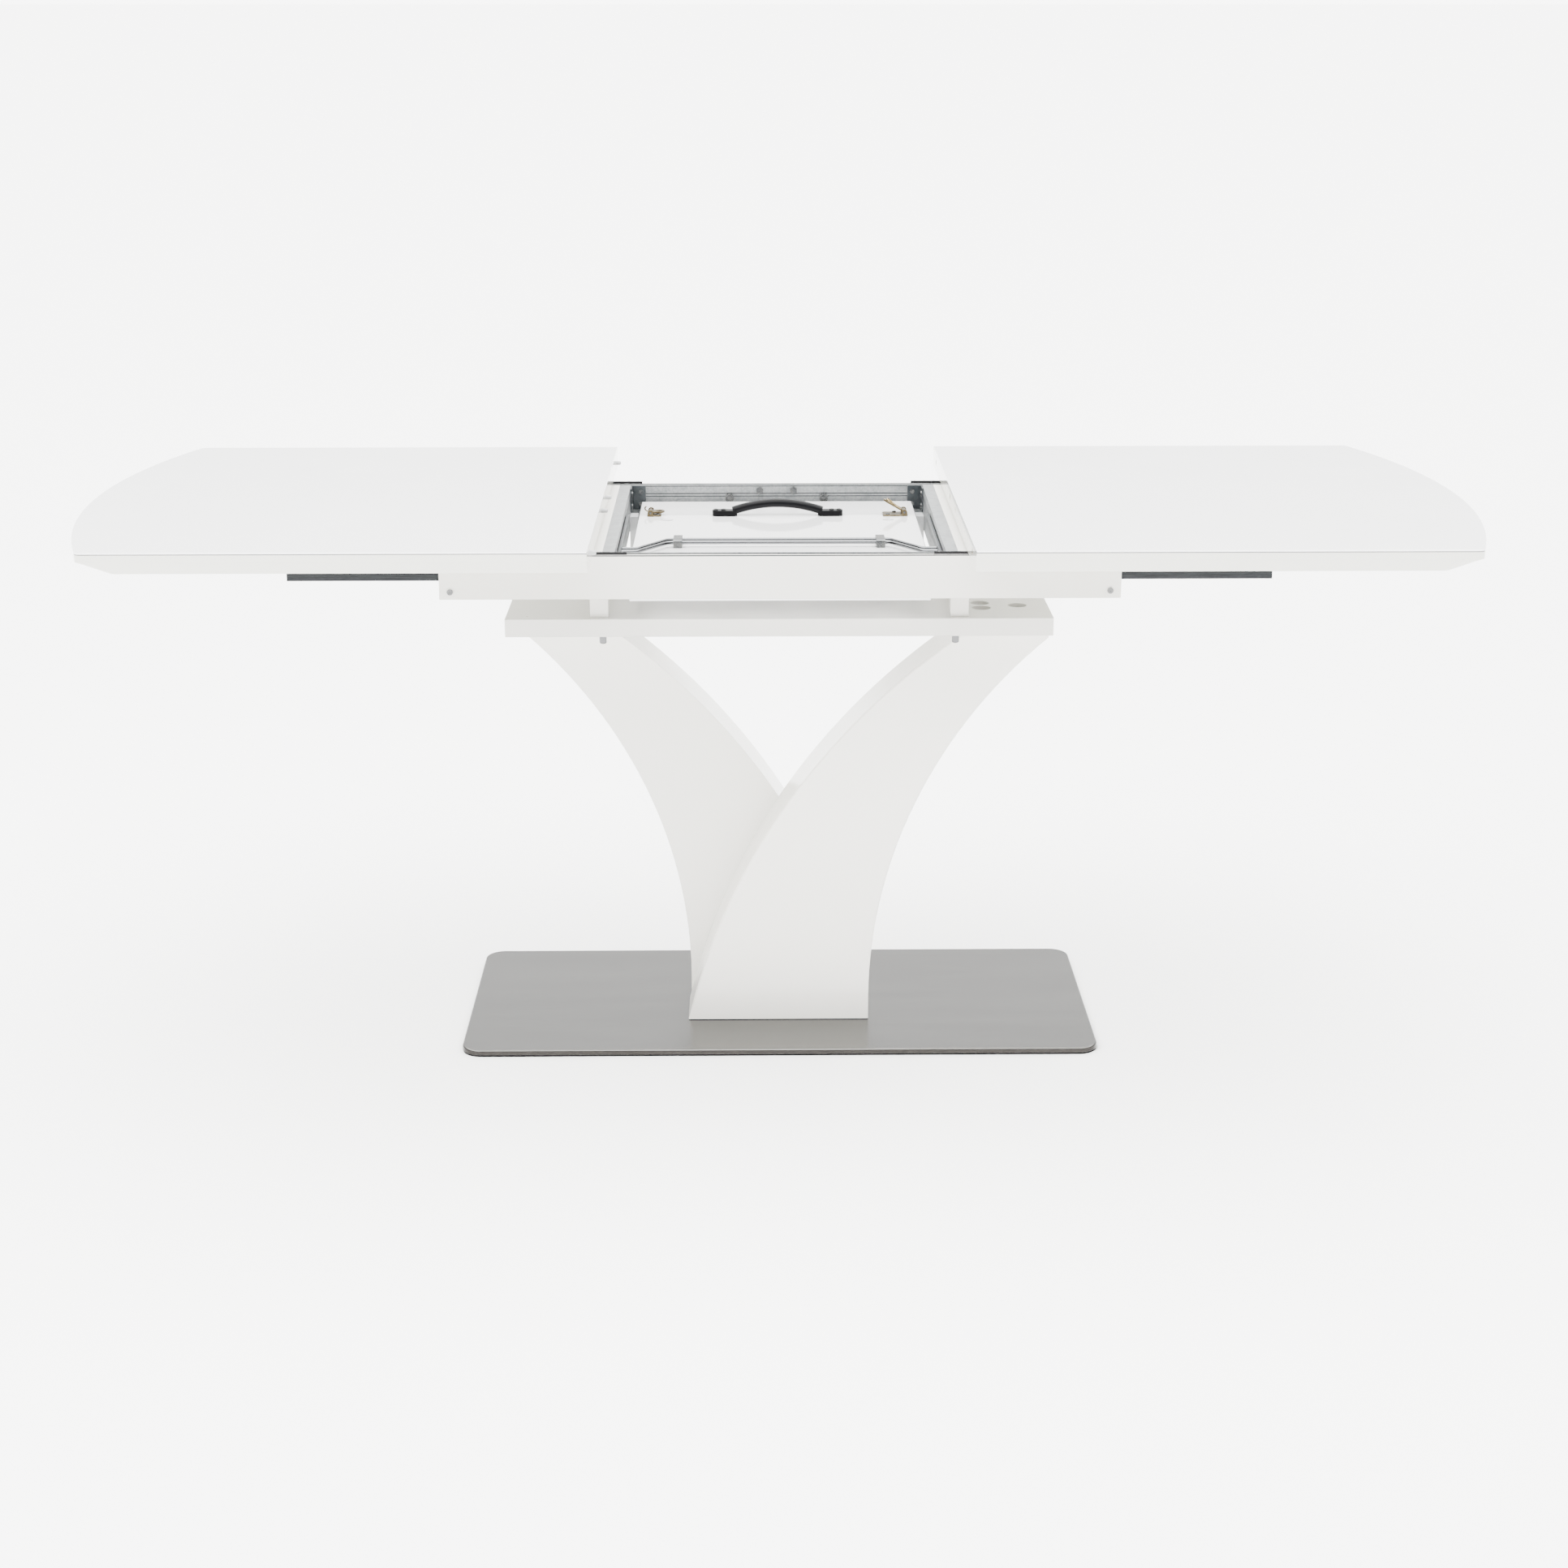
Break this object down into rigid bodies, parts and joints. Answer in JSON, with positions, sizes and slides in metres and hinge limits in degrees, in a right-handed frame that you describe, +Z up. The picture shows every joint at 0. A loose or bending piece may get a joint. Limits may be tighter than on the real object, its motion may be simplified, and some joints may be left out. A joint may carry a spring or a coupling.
{
  "type": "dining table",
  "caption": "Extendable pedestal dining table with sliding bow-ended leaves, a folding insert stored in the middle well and crossed curved legs on a steel plate.",
  "frame": {"origin": "on the floor under the middle of the table", "axes": "+X along the table's length, +Y towards its back, +Z up"},
  "size_m": [1.8858, 0.8, 0.76],
  "materials": {
    "brushed_plate": "brushed",
    "black_pad": "matt",
    "zinc": "satin zinc",
    "zinc_sheet": "galvanised",
    "white_lacquer": "satin white lacquer on board",
    "white_board": "satin white lacquer on board",
    "white_top": "high gloss white lacquer on board",
    "white_panel": "white lacquer on board",
    "white_steel": "white powder coat",
    "chrome": "polished",
    "nylon": "matt",
    "dark_steel": "satin",
    "black_plastic": "matt",
    "grey_plastic": "matt",
    "brass": "satin",
    "bronze": "aged bronze",
    "bright_rod": "bright",
    "black_handle": "semi-gloss",
    "bar_steel": "blued steel"
  },
  "bodies": {
    "frame": {"base_pad": "black_pad", "base_plate": "brushed_plate", "bracket_screws": "zinc", "channel_bolts": "zinc", "channel_bumpers": "zinc", "corner_brackets": "dark_steel", "corner_covers": "black_plastic", "front_leg": "white_lacquer", "front_rail": "white_steel", "front_slide_channel": "zinc_sheet", "left_cross_channel": "zinc_sheet", "left_cross_member": "white_steel", "left_posts": "white_steel", "left_rest_block": "grey_plastic", "leg_bolts": "zinc", "pedestal_board": "white_board", "plate_screws": "zinc", "post_bolts": "chrome", "post_nuts": "zinc", "rail_screws": "zinc", "rear_leg": "white_lacquer", "rear_rail": "white_steel", "rear_slide_channel": "zinc_sheet", "right_cross_channel": "zinc_sheet", "right_cross_member": "white_steel", "right_posts": "white_steel", "right_rest_block": "grey_plastic", "slide_guides": "nylon"},
    "left_leaf": {"left_leaf": "white_top", "left_front_slide_bar": "bar_steel", "left_rear_slide_bar": "bar_steel", "left_bar_stops": "black_plastic", "left_leaf_screws": "zinc", "left_leaf_pins": "grey_plastic"},
    "right_leaf": {"right_leaf": "white_top", "right_front_slide_bar": "bar_steel", "right_rear_slide_bar": "bar_steel", "right_bar_stops": "black_plastic", "right_leaf_screws": "zinc", "right_leaf_sleeves": "brass"},
    "insert": {"insert_upper_half": "white_panel", "insert_lower_half": "white_panel", "upper_fold_hinges": "zinc", "lower_fold_hinges": "zinc", "fold_hinge_pins": "zinc", "left_swing_arm": "dark_steel", "right_swing_arm": "dark_steel", "swing_pivots": "zinc", "swing_rods": "bright_rod", "rod_clamps": "zinc", "lift_handle": "black_handle", "insert_screws": "zinc", "insert_plugs": "grey_plastic", "left_latch_base": "bronze", "right_latch_base": "bronze", "latch_pins": "zinc"},
    "left_latch": {"left_latch_lever": "bronze"},
    "right_latch": {"right_latch_lever": "bronze"}
  },
  "joints": [
    {"name": "left_leaf_slide", "type": "slide", "parent": "frame", "child": "left_leaf", "axis": [-1, 0, 0], "range_m": [-0.243, 0]},
    {"name": "right_leaf_slide", "type": "slide", "parent": "frame", "child": "right_leaf", "axis": [1, 0, 0], "range_m": [-0.243, 0]},
    {"name": "insert_swing", "type": "hinge", "parent": "frame", "child": "insert", "pos_m": [0, -0.208, 0.712], "axis": [1, 0, 0], "range_deg": [0, 60]},
    {"name": "left_latch_lever", "type": "hinge", "parent": "insert", "child": "left_latch", "pos_m": [-0.183, 0.131, 0.7105], "axis": [0, -1, 0], "range_deg": [0, 80]},
    {"name": "right_latch_lever", "type": "hinge", "parent": "insert", "child": "right_latch", "pos_m": [0.183, 0.131, 0.7105], "axis": [0, 1, 0], "range_deg": [-30, 50]}
  ]
}
